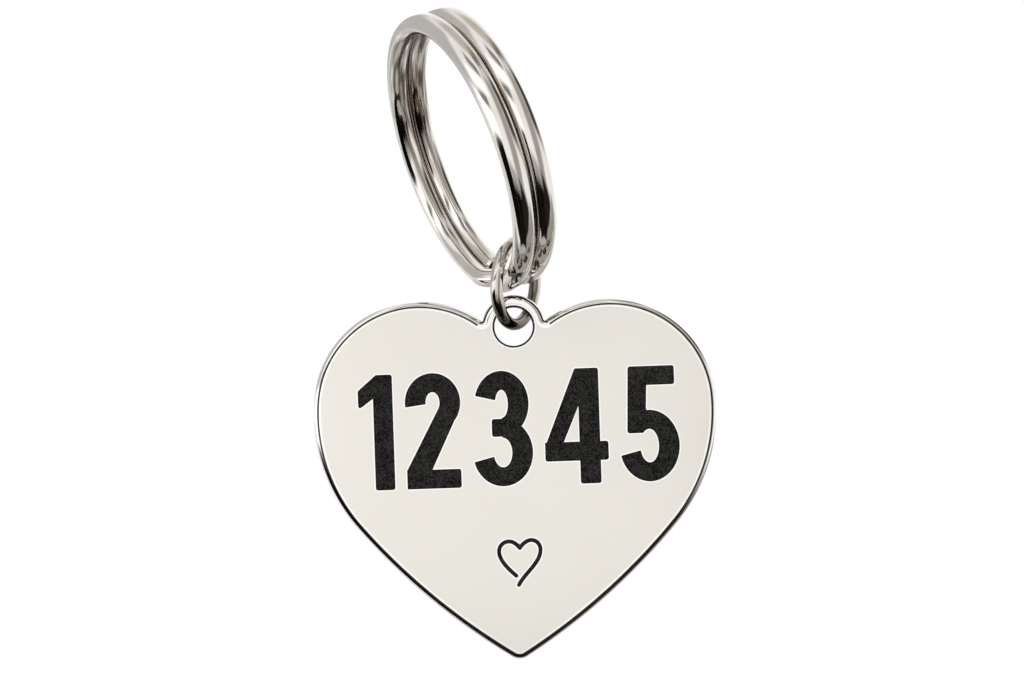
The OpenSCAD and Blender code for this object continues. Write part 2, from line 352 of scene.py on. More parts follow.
film.links.new(film_in.outputs["Share"], film_dullness.inputs["Value"])
film.links.new(film_in.outputs["Clean Roughness"], film_dullness.inputs["To Min"])
film.links.new(film_in.outputs["Grime And Shade Roughness"], film_dullness.inputs["To Max"])
film.links.new(film_colour.outputs["Result"], film_out.inputs["Colour"])
film.links.new(film_dullness.outputs["Result"], film_out.inputs["Roughness"])
print(film.name, "has", len(film.nodes), "nodes")

# %% A metal with haze and polishing lines
LINE_SHARE = 0.35


def metal(name, colours, roughness, patches, lines_along, line_depth, grime_and_shade_colour=None, metallic=1.0):
    """Metal whose colour and roughness drift between two values with the haze, crossed by fine lines. The
    lines and patches are counted per metre. Grime and painted shade darken the metal where the mesh
    says so."""
    material = bpy.data.materials.new(name)
    material.use_nodes = True
    tree = material.node_tree
    shader = tree.nodes["Principled BSDF"]
    shader.inputs["Metallic"].default_value = metallic
    hazy = add(tree, "ShaderNodeGroup")
    hazy.node_tree = haze
    hazy.inputs["Patches per Metre"].default_value = patches
    scratches = add(tree, "ShaderNodeGroup")
    scratches.node_tree = lines
    scratches.inputs["Lines per Metre"].default_value = lines_along
    scratches.inputs["Depth"].default_value = line_depth
    tint = add(tree, "ShaderNodeMix", data_type="RGBA")
    tint.inputs["A"].default_value = (*colours[0], 1)
    tint.inputs["B"].default_value = (*colours[1], 1)
    dullness = add(tree, "ShaderNodeMapRange", To_Min=roughness[0], To_Max=roughness[1])
    mixed = add(tree, "ShaderNodeMath", operation="MULTIPLY_ADD")
    mixed.inputs[1].default_value = LINE_SHARE
    relief = add(tree, "ShaderNodeBump", Distance=0.01 * MM, Strength=0.3)
    tree.links.new(hazy.outputs["Mask"], tint.inputs["Factor"])
    tree.links.new(scratches.outputs["Mask"], mixed.inputs[0])
    tree.links.new(hazy.outputs["Mask"], mixed.inputs[2])
    tree.links.new(mixed.outputs[0], dullness.inputs["Value"])
    tree.links.new(scratches.outputs["Height"], relief.inputs["Height"])
    tree.links.new(relief.outputs["Normal"], shader.inputs["Normal"])
    colour = tint.outputs["Result"]
    rough = dullness.outputs["Result"]
    if grime_and_shade_colour:
        grime_and_shade_share = add(tree, "ShaderNodeAttribute", attribute_name="grime_and_shade")
        soiled_and_shaded = add(tree, "ShaderNodeGroup")
        soiled_and_shaded.node_tree = film
        soiled_and_shaded.inputs["Grime And Shade"].default_value = (*grime_and_shade_colour, 1)
        tree.links.new(colour, soiled_and_shaded.inputs["Clean"])
        tree.links.new(grime_and_shade_share.outputs["Fac"], soiled_and_shaded.inputs["Share"])
        tree.links.new(rough, soiled_and_shaded.inputs["Clean Roughness"])
        colour = soiled_and_shaded.outputs["Colour"]
        rough = soiled_and_shaded.outputs["Roughness"]
    tree.links.new(colour, shader.inputs["Base Color"])
    tree.links.new(rough, shader.inputs["Roughness"])
    return material


# %% The two wires
WIRE_LINES = (2500, 2500, 500)
split_steel = metal(
    "split_ring_nickel",
    ((0.82, 0.79, 0.745), (0.77, 0.73, 0.68)),
    roughness=(0.05, 0.09), patches=700, lines_along=WIRE_LINES, line_depth=0.2,
    # This brown is grime, and also painted shade between the turns and inside the ring's top.
    grime_and_shade_colour=(0.12, 0.074, 0.043),
)
jump_steel = metal(
    "jump_ring_nickel",
    ((0.70, 0.65, 0.59), (0.57, 0.52, 0.46)),
    roughness=(0.04, 0.08), patches=900, lines_along=WIRE_LINES, line_depth=0.2,
    # This near-black paints shade at the ring's bottom and all round its inside.
    grime_and_shade_colour=(0.035, 0.023, 0.014),
)
print("wires:", split_steel.name, "and", jump_steel.name)

# %% The plate's face, rim, bright lines, painted rim reflection and cut walls in painted shade
face_steel = metal(
    "tag_face_satin",
    ((0.776, 0.747, 0.691), (0.766, 0.736, 0.678)),
    roughness=(0.2, 0.24), patches=60, lines_along=(9000, 300, 500), line_depth=0, metallic=0.5,
)
rim_steel = metal(
    "tag_rim_polish",
    ((0.93, 0.92, 0.89), (0.89, 0.87, 0.84)),
    roughness=(0.04, 0.08), patches=500, lines_along=(1500, 1500, 1500), line_depth=0.1,
)
# A near-black metal for the rim's thin dark line, a painted reflection.
rim_painted_reflection = metal(
    "tag_rim_painted_reflection",
    ((0.10, 0.085, 0.07), (0.06, 0.05, 0.04)),
    roughness=(0.1, 0.25), patches=900, lines_along=(900, 900, 900), line_depth=0.1,
)
burnished_steel = metal(
    "burnished_line",
    ((0.99, 0.985, 0.97), (0.97, 0.96, 0.94)),
    roughness=(0.12, 0.2), patches=900, lines_along=(900, 900, 900), line_depth=0,
)
# Bore, recess walls and recess floors: a rougher metal whose near-black colour is painted shade.
bore_painted_shade_metal = metal(
    "bore_painted_shade",
    ((0.10, 0.085, 0.07), (0.05, 0.042, 0.035)),
    roughness=(0.2, 0.4), patches=1500, lines_along=(300, 5000, 300), line_depth=0.4,
)
plate_metals = [face_steel, rim_steel, rim_painted_reflection, burnished_steel, bore_painted_shade_metal]
print("plate metals:", [m.name for m in plate_metals])

# %% [markdown]
# ## The black filling
# The engraving is filled with a black that dries matt and a little grainy. One flat black would look like
# print, so two sizes of noise make it: a fine grain in the surface, and slower patches from charcoal to
# black, as the light catches the uneven fill.

# %% Filling
BLOTCH_SHARE = 0.2
filling = bpy.data.materials.new("black_filling")
filling.use_nodes = True
tree = filling.node_tree
shader = tree.nodes["Principled BSDF"]
shader.inputs["Specular IOR Level"].default_value = 0.05
place = add(tree, "ShaderNodeTexCoord")
grain = add(tree, "ShaderNodeTexNoise", Scale=8200.0, Detail=3.0, Roughness=0.65)
blotch = add(tree, "ShaderNodeTexNoise", Scale=1100.0, Detail=2.0)
blend = add(tree, "ShaderNodeMath", operation="MULTIPLY_ADD")
blend.inputs[1].default_value = BLOTCH_SHARE
shade = add(tree, "ShaderNodeValToRGB")
shade.color_ramp.elements[0].position = 0.48
shade.color_ramp.elements[0].color = (0.001, 0.001, 0.0009, 1)
shade.color_ramp.elements[1].position = 0.74
shade.color_ramp.elements[1].color = (0.034, 0.0328, 0.0305, 1)
dullness = add(tree, "ShaderNodeMapRange", To_Min=0.5, To_Max=0.75)
relief = add(tree, "ShaderNodeBump", Distance=0.03 * MM, Strength=0.6)
for noise in (grain, blotch):
    tree.links.new(place.outputs["Object"], noise.inputs["Vector"])
tree.links.new(blotch.outputs["Fac"], blend.inputs[0])
tree.links.new(grain.outputs["Fac"], blend.inputs[2])
tree.links.new(blend.outputs[0], shade.inputs["Fac"])
tree.links.new(shade.outputs["Color"], shader.inputs["Base Color"])
tree.links.new(grain.outputs["Fac"], dullness.inputs["Value"])
tree.links.new(dullness.outputs["Result"], shader.inputs["Roughness"])
tree.links.new(grain.outputs["Fac"], relief.inputs["Height"])
tree.links.new(relief.outputs["Normal"], shader.inputs["Normal"])
print(filling.name, "has", len(tree.nodes), "nodes")

# %% [markdown]
# ## The split ring
# A split ring is one spring wire: it runs round once, steps over to the other side at one place, and runs
# round again. The step is a smooth curve, and each wire end stops just beside it. Two plain hoops would be
# quicker, but they have no step and no ends. A mesh tube along the wire's own path, with about one section a
# degree, mirrors the light without any facet. The solid keeps a gap between its turns. The real spring
# presses them together, so the dressed wire is a little wider towards its neighbour, and its outer side
# stays where the solid's is.

# %% Split ring
TOUCH_GAP = 0.05
wider = (TURN_GAP - TOUCH_GAP) / 4
dressed_x = turn_x - wider


def wire_spot(angle):
    """The wire's middle, in the ring's own frame: its turn's place, or on its way across at the step."""
    share = eased((angle - STEP_AT - 360) / (2 * STEP_HALF_ANGLE) + 0.5)
    return ring_spot(dressed_x * (2 * share - 1), ring_r, angle)


RING_SECTIONS = 700
RING_SIDES = 48
chamfer_angle = degrees(END_CHAMFER / ring_r)
first_angle = STEP_AT + STEP_HALF_ANGLE + END_ANGLE + chamfer_angle
last_angle = STEP_AT - STEP_HALF_ANGLE - END_ANGLE - chamfer_angle + 720
wire_angles = spaced(first_angle, last_angle, RING_SECTIONS)
split_ring = tube(
    "split_ring_wire",
    [ring_centre + RING_LIE @ wire_spot(a) for a in wire_angles],
    [RING_LIE @ ring_spot(0, 1, a) for a in wire_angles],
    WIRE_D / 2, wider, RING_SIDES, END_CHAMFER, [split_steel],
)

# %% Grime and painted shade on the split ring
BETWEEN_SHARE = 0.42
BETWEEN_HALF_W = 0.15
BETWEEN_EDGE = 0.12
BESIDE_STEP_ANGLE = 8
INSIDE_SHARE = 0.92
INSIDE_EDGE = 0.6
INSIDE_FROM = 0.35
STREAKS_PER_MM = 5
STREAK_ANGLE = 14
STREAK_CONTRAST = 1.6


def split_grime_and_shade(spot):
    """Grime and painted shade darken the wire between the turns, apart from the step, and in streaks
    inside the ring's top.
    """
    local = RING_LIE.transposed() @ (spot - ring_centre)
    angle = degrees(atan2(-local.y, -local.z))
    from_step = abs((angle - STEP_AT + 180) % 360 - 180)
    beside_both = eased((from_step - STEP_HALF_ANGLE - END_ANGLE) / BESIDE_STEP_ANGLE)
    between = eased((BETWEEN_HALF_W - abs(local.x)) / BETWEEN_EDGE) * beside_both
    r = hypot(local.y, local.z)
    inside = eased((ring_r - r) / INSIDE_EDGE) * eased(INSIDE_FROM + local.z / ring_r)
    streak_place = Vector((STREAKS_PER_MM * local.x, STREAKS_PER_MM * r, angle / STREAK_ANGLE))
    streak = eased(0.5 + STREAK_CONTRAST * slow_noise(streak_place))
    return max(BETWEEN_SHARE * between, INSIDE_SHARE * inside * streak)


grime_and_shade(split_ring, split_grime_and_shade)
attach(split_ring, "split_ring")
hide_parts("split_ring")

# %% [markdown]
# ## The jump ring
# The jump ring is a single turn of thinner wire, closed with a butt joint that shows only as a hair line. A
# torus would have no joint, so it is the same kind of tube as the split ring, once round, with a broken edge
# at both ends. Its wire is darker than the split ring's.

# %% Jump ring
EDGE_BREAK = 0.015
JUMP_SECTIONS = 300
JUMP_SIDES = 40
from_butt = degrees((BUTT_GAP / 2 + EDGE_BREAK) / jump_r)
jump_angles = spaced(BUTT_AT + from_butt, BUTT_AT + 360 - from_butt, JUMP_SECTIONS)
jump_ring = tube(
    "jump_ring_wire",
    [jump_centre + JUMP_LIE @ ring_spot(0, jump_r, a) for a in jump_angles],
    [JUMP_LIE @ ring_spot(0, 1, a) for a in jump_angles],
    JUMP_WIRE_D / 2, 0, JUMP_SIDES, EDGE_BREAK, [jump_steel],
)

# %% Painted shade on the jump ring
BELOW_SHARE = 0.85
BELOW_FROM = 0.35
BELOW_EDGE = 0.7
JUMP_INSIDE_SHARE = 0.72
JUMP_INSIDE_FROM = 0.1
JUMP_INSIDE_EDGE = 0.35


def jump_painted_shade(spot):
    """Painted shade darkens the bottom of the ring, where it sits in the hole, and all round its inside."""
    below = eased((jump_centre.z - BELOW_FROM * jump_r - spot.z) / (BELOW_EDGE * jump_r))
    local = JUMP_LIE.transposed() @ (spot - jump_centre)
    inside = eased((jump_r - JUMP_INSIDE_FROM - hypot(local.y, local.z)) / JUMP_INSIDE_EDGE)
    return max(BELOW_SHARE * below, JUMP_INSIDE_SHARE * inside)


grime_and_shade(jump_ring, jump_painted_shade)
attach(jump_ring, "jump_ring")
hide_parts("jump_ring")

# %% [markdown]
# ## The tag's outline
# The heart is not one curve but a chain of arcs that flow into each other: the lug round the hole, a tight
# notch, the lobe, the wider shoulder, a nearly straight flank and the small round tip. A free curve could be
# pulled to that shape, but arcs can be drawn again with any inset, which gives the outlines that a rounded
# rim is built from. Each arc's centre follows from its neighbour's, so that they meet without a corner.

# %% Sizes of the heart
TAG_W = 32.5
HEART_H = 28.9
LOBE_R = 8.6
SHOULDER_R = 14.2
SHOULDER_START = 4
FLANK_START = 40.5
TIP_R = 1.2
RIM_R = 0.55
HOLE_R = 1.55
LUG_WALL = 1
LUG_R = HOLE_R + LUG_WALL
NOTCH_R = 0.08
LOBE_RISE = 2.15
TAG_ROLL = 1.1
print("heart:", TAG_W, "mm wide and", HEART_H, "mm high")

# %% Centres of its arcs
shoulder_x = TAG_W / 2 - SHOULDER_R
lobe = Vector((shoulder_x + (SHOULDER_R - LOBE_R) * cos(radians(SHOULDER_START)), LOBE_RISE - LOBE_R))
shoulder = Vector((shoulder_x, lobe.y - (SHOULDER_R - LOBE_R) * sin(radians(SHOULDER_START))))
tip = Vector((0, LOBE_RISE - HEART_H + TIP_R))
flank_way = Vector((cos(radians(FLANK_START)), -sin(radians(FLANK_START))))
to_tip = tip - shoulder
flank_r = (to_tip.length_squared - 2 * SHOULDER_R * to_tip.dot(flank_way) + SHOULDER_R**2 - TIP_R**2) / (
    2 * (SHOULDER_R - TIP_R - to_tip.dot(flank_way))
)
flank = shoulder - (flank_r - SHOULDER_R) * flank_way
flank_end = degrees(atan2(flank.y - tip.y, tip.x - flank.x))
lug_reach = LUG_R + NOTCH_R
lobe_reach = LOBE_R + NOTCH_R
lug_notch = degrees(
    atan2(lobe.y, lobe.x)
    + acos((lug_reach**2 + lobe.length_squared - lobe_reach**2) / (2 * lug_reach * lobe.length))
)
notch = lug_reach * Vector((cos(radians(lug_notch)), sin(radians(lug_notch))))
lobe_notch = degrees(atan2(notch.y - lobe.y, notch.x - lobe.x))
print("flank radius, mm:", round(flank_r, 2))


# %% The outline, drawn in from the edge by any distance
LUG_STEPS = 40
NOTCH_STEPS = 8
LOBE_STEPS = 50
SIDE_STEPS = 36
FLANK_STEPS = 24
TIP_STEPS = 20


def arc(centre, r, start, stop, steps):
    """Points of an arc, without its last one. Angles are in degrees."""
    turns = [radians(angle) for angle in spaced(start, stop, steps)[:-1]]
    return [Vector((centre[0] + r * cos(t), centre[1] + r * sin(t))) for t in turns]


def mirrored(spot):
    """The same spot on the tag's other half."""
    return Vector((-spot[0], spot[1]))


def tag_outline(inset):
    """The tag's outline seen from the front, drawn in from the edge by one distance all round."""
    return (
        arc((0, 0), LUG_R - inset, lug_notch, 180 - lug_notch, LUG_STEPS)
        + arc(mirrored(notch), NOTCH_R + inset, 360 - lug_notch, 360 - lobe_notch, NOTCH_STEPS)
        + arc(mirrored(lobe), LOBE_R - inset, 180 - lobe_notch, 180 - SHOULDER_START, LOBE_STEPS)
        + arc(mirrored(shoulder), SHOULDER_R - inset, 180 - SHOULDER_START, 180 + FLANK_START, SIDE_STEPS)
        + arc(mirrored(flank), flank_r - inset, 180 + FLANK_START, 180 + flank_end, FLANK_STEPS)
        + arc(tip, TIP_R - inset, 180 + flank_end, 360 - flank_end, TIP_STEPS)
        + arc(flank, flank_r - inset, 360 - flank_end, 360 - FLANK_START, FLANK_STEPS)
        + arc(shoulder, SHOULDER_R - inset, -FLANK_START, SHOULDER_START, SIDE_STEPS)
        + arc(lobe, LOBE_R - inset, SHOULDER_START, lobe_notch, LOBE_STEPS)
        + arc(notch, NOTCH_R + inset, lobe_notch - 180, lug_notch - 180, NOTCH_STEPS)
    )


print("outline has", len(tag_outline(0)), "points")


# %% [markdown]
# ## Outlines that overlap
# Numbers and the little line heart are easiest to draw as strokes laid over each other, as a sign painter
# does. A constrained triangulation then finds the area that they cover together, and its border is the
# outline to engrave. The same triangulation fills the plate's face round all of its recesses.

# %% Areas from outlines
INSIDE_ONLY = 1
SAME_POINT = 1e-6


def covered(outlines):
    """Triangles inside outlines, each with the number of outlines that it lies in, and their points."""
    points = []
    faces = []
    for outline in outlines:
        twice_area = sum(a[0] * b[1] - b[0] * a[1] for a, b in zip(outline[-1:] + outline[:-1], outline))
        faces.append(list(range(len(points), len(points) + len(outline))))
        points += [Vector((p[0], p[1])) for p in (outline if twice_area > 0 else outline[::-1])]
    spots, _, triangles, _, _, owners = delaunay_2d_cdt(points, [], faces, INSIDE_ONLY, SAME_POINT)
    counted = []
    for triangle, owner in zip(triangles, owners):
        corners = [spots[k] for k in triangle]
        turn = (corners[1] - corners[0]).cross(corners[2] - corners[0])
        counted.append((list(triangle) if turn > 0 else list(triangle)[::-1], len(owner)))
    return spots, counted


def union(outlines):
    """Border loops of the area that overlapping outlines cover, with the area on the left."""
    spots, counted = covered(outlines)
    sides = set()
    for triangle, count in counted:
        if count:
            sides |= {(triangle[k], triangle[(k + 1) % 3]) for k in range(3)}
    following = {a: b for a, b in sides if (b, a) not in sides}
    loops = []
    while following:
        start = next(iter(following))
        loop = [start]
        while following[loop[-1]] != start:
            loop.append(following.pop(loop[-1]))
        following.pop(loop[-1])
        loops.append([spots[k] for k in loop])
    return loops


# %% Loops with soft corners, and loops moved outwards
CORNER_STEPS = 6
CUT_LIMIT_SHARE = 0.45
MITRE_LIMIT = 2


def soften(loop, r, least_turn=25):
    """Rounds the outer corners of a loop, as a round cutter leaves them."""
    out = []
    for i, here in enumerate(loop):
        before = loop[i - 1]
        after = loop[(i + 1) % len(loop)]
        arriving = here - before
        leaving = after - here
        turn = degrees(arriving.angle_signed(leaving))
        if -turn < least_turn:
            out.append(here)
            continue
        reach = r * abs(tan(radians(turn / 2)))
        cut = min(reach, CUT_LIMIT_SHARE * arriving.length, CUT_LIMIT_SHARE * leaving.length)
        start = here - cut * arriving.normalized()
        stop = here + cut * leaving.normalized()
        for t in spaced(0, 1, CORNER_STEPS):
            out.append((1 - t) ** 2 * start + 2 * t * (1 - t) * here + t * t * stop)
    return out


def moved_out(loop, distance):
    """The loop moved off its area by a distance. The area lies on the left."""
    out = []
    for i, here in enumerate(loop):
        arriving = (here - loop[i - 1]).normalized()
        leaving = (loop[(i + 1) % len(loop)] - here).normalized()
        a = Vector((arriving.y, -arriving.x))
        b = Vector((leaving.y, -leaving.x))
        middle = (a + b).normalized()
        out.append(here + distance / max(1 / MITRE_LIMIT, middle.dot(a)) * middle)
    return out


# %% [markdown]
# ## The numbers
# Five plain numbers fill the tag's width, in bold strokes with slightly rounded corners, as an engraving
# machine cuts them. A text object could set them, but its letter shapes come from a font, with no say over
# the strokes. So each number is a few bars and bows, in shares of its height.

# %% Strokes of the numbers
DIGIT_H = 9.24
STEM_SHARE = 0.18
BAR_SHARE = 0.165
BOW_STEP = 5


def block(x0, y0, x1, y1):
    """A bar between two corners."""
    return [Vector(p) for p in ((x0, y0), (x1, y0), (x1, y1), (x0, y1))]


def bow_spots(x, y, rx, ry, angle):
    """The outer and the inner point of a curved stroke at one angle about its middle."""
    along = Vector((cos(radians(angle)), sin(radians(angle))))
    outer = Vector((x + rx * along.x, y + ry * along.y))
    return outer, Vector((x + (rx - STEM_SHARE) * along.x, y + (ry - BAR_SHARE) * along.y))


def bow(x, y, rx, ry, start, stop):
    """A curved stroke, from one angle to another about its middle."""
    angles = spaced(start, stop, ceil(abs(stop - start) / BOW_STEP))
    pairs = [bow_spots(x, y, rx, ry, angle) for angle in angles]
    return [outer for outer, _ in pairs] + [inner for _, inner in pairs[::-1]]


def slant(*corners):
    """A straight stroke that leans, by its corners."""
    return [Vector(c) for c in corners]


# %% The five numbers
# A bow is its middle, its two half widths and the angles that it runs between. A stroke that ends in a bow
# shares the bow's own end points.
TWO_BOW_SHARES = (0.24, 0.745, 0.24, 0.255)
NECK_ANGLE = -40
FIVE_BOW_SHARES = (0.22, 0.31, 0.26, 0.31)
HEEL_ANGLE = 130
neck_outer, neck_inner = bow_spots(*TWO_BOW_SHARES, NECK_ANGLE)
_, heel = bow_spots(*FIVE_BOW_SHARES, HEEL_ANGLE)
digit_stroke_shares = {
    "1": [
        block(0.13, 0, 0.3, 0.9),
        slant((0, 0.7), (0.2, 0.845), (0.3, 0.845), (0.3, 1), (0.16, 1), (0, 0.865)),
    ],
    "2": [
        bow(*TWO_BOW_SHARES, 188, NECK_ANGLE),
        slant((0.3, 0.7), neck_inner, (0, 0.16), (0, 0.02), (0.19, 0.1), neck_outer, (0.425, 0.6)),
        block(0, 0, 0.47, BAR_SHARE),
    ],
    "3": [
        bow(0.26, 0.715, 0.235, 0.285, 165, -90),
        bow(0.26, 0.2925, 0.26, 0.2925, 90, -165),
        block(0.17, 0.43, 0.265, 0.585),
    ],
    "4": [
        block(0.3, 0, 0.3 + STEM_SHARE, 1),
        block(0, 0.2, 0.55, 0.2 + BAR_SHARE),
        slant((0, 0.33), (0.15, 0.33), (0.42, 0.95), (0.42, 1), (0.275, 1)),
    ],
    "5": [
        block(0.05, 1 - BAR_SHARE, 0.45, 1),
        slant((0.05, 1), (0.03, heel.y), heel, (0.19, 0.47), (0.215, 1)),
        bow(*FIVE_BOW_SHARES, HEEL_ANGLE, -165),
    ],
}
print("strokes:", {digit: len(strokes) for digit, strokes in digit_stroke_shares.items()})

# %% Numbers set out on the plate
DIGITS = "12345"
DIGIT_GAP_SHARE = 0.105
DIGIT_CORNER_R = 0.22
NUMBER_MIDDLE = Vector((0.28, -8.13))
NUMBER_TILT = 0.84


def number_loops():
    """Outlines of all the numbers on the plate, in millimetres from the hole's centre."""
    x = 0
    placed = []
    for digit in DIGITS:
        loops = union(digit_stroke_shares[digit])
        left = min(p.x for loop in loops for p in loop)
        right = max(p.x for loop in loops for p in loop)
        placed += [[p + Vector((x - left, 0)) for p in loop] for loop in loops]
        x += right - left + DIGIT_GAP_SHARE
    middle = Vector(((x - DIGIT_GAP_SHARE) / 2, 0.5))
    tilt = Matrix.Rotation(radians(NUMBER_TILT), 2)
    sized = [[tilt @ ((p - middle) * DIGIT_H) + NUMBER_MIDDLE for p in loop] for loop in placed]
    print("numbers are", round((x - DIGIT_GAP_SHARE) * DIGIT_H, 1), "mm wide")
    return [soften(loop, DIGIT_CORNER_R) for loop in sized]


digit_loops = number_loops()

# %% [markdown]
# ## The line heart
# Below the numbers is a small heart drawn with one thin open line, like a quick pen stroke. A curve with a
# bevel would lie on the face, but this line is cut into it, so its outline is needed. Each half is a chain
# of curves from the cleft, and the right one runs past the point. The line keeps one width, so its outline
# is the middle line moved to both sides, with round ends.

# %% Strokes of the line heart
LINE_HEART_W = 3.32
LINE_W = 0.33
LINE_HEART_MIDDLE = Vector((0.16, -18.7))
CURVE_STEPS = 12
CAP_STEPS = 8
cleft_share = (0, 0.294)
left_stroke_shares = [
    (cleft_share, (-0.07, 0.385), (-0.158, 0.455), (-0.258, 0.455)),
    ((-0.258, 0.455), (-0.395, 0.455), (-0.501, 0.35), (-0.501, 0.217)),
    ((-0.501, 0.217), (-0.501, 0.005), (-0.285, -0.21), (-0.096, -0.373)),
]
right_stroke_shares = [
    (cleft_share, (0.07, 0.395), (0.172, 0.48), (0.282, 0.48)),
    ((0.282, 0.48), (0.412, 0.48), (0.499, 0.372), (0.499, 0.243)),
    ((0.499, 0.243), (0.499, -0.06), (0.115, -0.31), (-0.036, -0.595)),
]


def curve_spot(curve, t):
    """A point of a curve that two end points and two handles between them shape."""
    a, b, c, d = [Vector(p) for p in curve]
    u = 1 - t
    return u * u * u * a + 3 * u * u * t * b + 3 * u * t * t * c + t * t * t * d


def cap(end, way, side):
    """Half a circle that bulges along the way, from the line's left side to its right."""
    return [end + LINE_W / 2 * sin(t) * way + cos(t) * side for t in spaced(0, pi, CAP_STEPS)[1:-1]]


def stroke(curves):
    """Outline of a line of one width with round ends along a chain of curves."""
    shares = [curve_spot(curve, t) for curve in curves for t in spaced(0, 1, CURVE_STEPS)[:-1]]
    shares.append(curve_spot(curves[-1], 1))
    mids = [LINE_HEART_MIDDLE + LINE_HEART_W * s for s in shares]
    ways = ways_along(mids)
    sides = [LINE_W / 2 * Vector((-way.y, way.x)) for way in ways]
    left = [mid + side for mid, side in zip(mids, sides)]
    right = [mid - side for mid, side in zip(mids, sides)]
    start_cap = cap(mids[0], -ways[0], sides[0])
    end_cap = cap(mids[-1], ways[-1], sides[-1])
    return right + end_cap[::-1] + left[::-1] + start_cap


line_heart_loops = union([stroke(left_stroke_shares), stroke(right_stroke_shares)])
print("line heart has", len(line_heart_loops), "outline")

# %% [markdown]
# ## The plate
# The plate is stamped, tumbled and polished: its rim is rounded on both faces, and the face itself is flat
# and satin. The satin stops short of the rim, of the hole and of every recess, and the metal between is
# rubbed bright, which shows as a light line. The rim carries a thin dark line, a painted reflection: beside
# the face round the heart, and near the outer edge round the lug. The hole's bore and the recesses' walls
# and floors are near black, as painted shade. A bevel modifier could round the rim, but it can fold over
# itself in the tight notches, where rows drawn with a smaller and smaller inset don't. The lines are strips
# of faces with a finish of their own, so they belong to the mesh and turn with it.

# %% Sizes of the plate, and its finishes by number
LAND_W = 0.14
BURNISHED_W = 0.09
RECESS_DEPTH = 0.2
HOLE_EDGE = 0.15
HOLE_EDGE_STEPS = 4
HOLE_FACES = 128
RIM_STEPS = 16
HEART_PAINTED_REFLECTION = (0, 3)
LUG_PAINTED_REFLECTION = (6, 10)
FACE, RIM, PAINTED_REFLECTION, BRIGHT, BORE_PAINTED_SHADE = range(5)


def on_plate(spot, depth):
    """A point of the tag seen from the front: x and height from the hole's centre, and its depth."""
    flat = Vector((spot[0], depth - PLATE_T / 2, spot[1]))
    return hole_centre + Matrix.Rotation(radians(-TAG_ROLL), 3, "Y") @ flat


def plate_row(skin, loop, depth):
    """A loop's points on the plate at one depth, as a row of a skin."""
    return skin.row([on_plate(p, depth) for p in loop])


def quarter(steps):
    """Shares of a rounded edge, from the flat face over the edge: how far out, and how far down."""
    return [(sin(turn), 1 - cos(turn)) for turn in spaced(0, pi / 2, steps)]


# %% The rounded rim, from the flat land inside it to its middle, on both faces
def rim_finish(band):
    """The rim's dark line is a painted reflection. It lies beside the face round the heart, and near the
    outer edge round the lug.
    """

    def finish(i):
        by_lug = i < LUG_STEPS + NOTCH_STEPS or i >= outline_count - NOTCH_STEPS
        start, stop = LUG_PAINTED_REFLECTION if by_lug else HEART_PAINTED_REFLECTION
        return PAINTED_REFLECTION if start <= band < stop else RIM

    return finish


def rim_row(out, depth):
    """The outline at a share of the way out from the flat face to the rim's middle."""
    return plate_row(plate, tag_outline(RIM_R * (1 - out)), depth)


plate = Skin()
outline_count = len(tag_outline(0))
rim_shares = quarter(RIM_STEPS)
front_rows = [rim_row(out, RIM_R * down) for out, down in rim_shares]
back_rows = [rim_row(out, PLATE_T - RIM_R * down) for out, down in rim_shares]
face_edge = tag_outline(RIM_R + LAND_W)
for rows, depth, order in ((front_rows, 0, 1), (back_rows, PLATE_T, -1)):
    for band, (low, high) in enumerate(zip(rows, rows[1:])):
        plate.join(*(high, low)[::order], rim_finish(band))
    land = plate_row(plate, face_edge, depth)
    plate.join(*(rows[0], land)[::order], BRIGHT)
plate.join(back_rows[-1], front_rows[-1], RIM)
print("rim has", len(plate.faces), "faces")

# %% Hole through the lug, its edges rounded on both faces, its bore in near-black painted shade
def hole_circle(out):
    """A circle at a share of the way from the hole's rounded edge on the face to its bore."""
    return arc((0, 0), HOLE_R + HOLE_EDGE * (1 - out), 0, 360, HOLE_FACES)


edge_shares = quarter(HOLE_EDGE_STEPS)
hole_rows = [plate_row(plate, hole_circle(out), HOLE_EDGE * down) for out, down in edge_shares]
for out, down in edge_shares[::-1]:
    hole_rows.append(plate_row(plate, hole_circle(out), PLATE_T - HOLE_EDGE * down))
for low, high in zip(hole_rows, hole_rows[1:]):
    plate.join(low, high, BORE_PAINTED_SHADE)
hole_outline = hole_circle(0)
print("hole is", 2 * HOLE_R, "mm across")

# %% Walls of the recesses, in near-black painted shade
recess_loops = digit_loops + line_heart_loops
for loop in recess_loops:
    plate.join(plate_row(plate, loop, 0), plate_row(plate, loop, RECESS_DEPTH), BORE_PAINTED_SHADE)
print(len(recess_loops), "recess outlines")


# %% Flat faces, and the bright lines round the hole and the recesses
def fill(skin, outlines, depth, finish=0, flip=False):
    """Flat faces at one depth, wherever an odd number of outlines goes round."""
    spots, counted = covered(outlines)
    first = plate_row(skin, spots, depth)[0]
    for triangle, count in counted:
        if count % 2 == 1:
            corners = [first + k for k in triangle]
            skin.face(corners[::-1] if flip else corners, finish)


def burnish(loop):
    """A flat bright line of one width along a loop. Gives the outline that the face keeps clear."""
    outer = moved_out(loop, BURNISHED_W)
    plate.join(plate_row(plate, outer, 0), plate_row(plate, loop, 0), BRIGHT)
    return outer


wide_loops = [burnish(loop) for loop in recess_loops]
wide_hole = burnish(hole_outline)
fill(plate, [face_edge, wide_hole] + wide_loops, 0, FACE)
fill(plate, [face_edge, hole_outline], PLATE_T, FACE, flip=True)
# The recess floors carry the same near-black painted shade.
fill(plate, recess_loops, RECESS_DEPTH, BORE_PAINTED_SHADE)

# %% The plate as one piece
tag_plate = plate.build("tag_plate_polished", plate_metals)
weighted = tag_plate.modifiers.new("even_shading", "WEIGHTED_NORMAL")
weighted.keep_sharp = True
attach(tag_plate, "tag")
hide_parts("tag_plate")

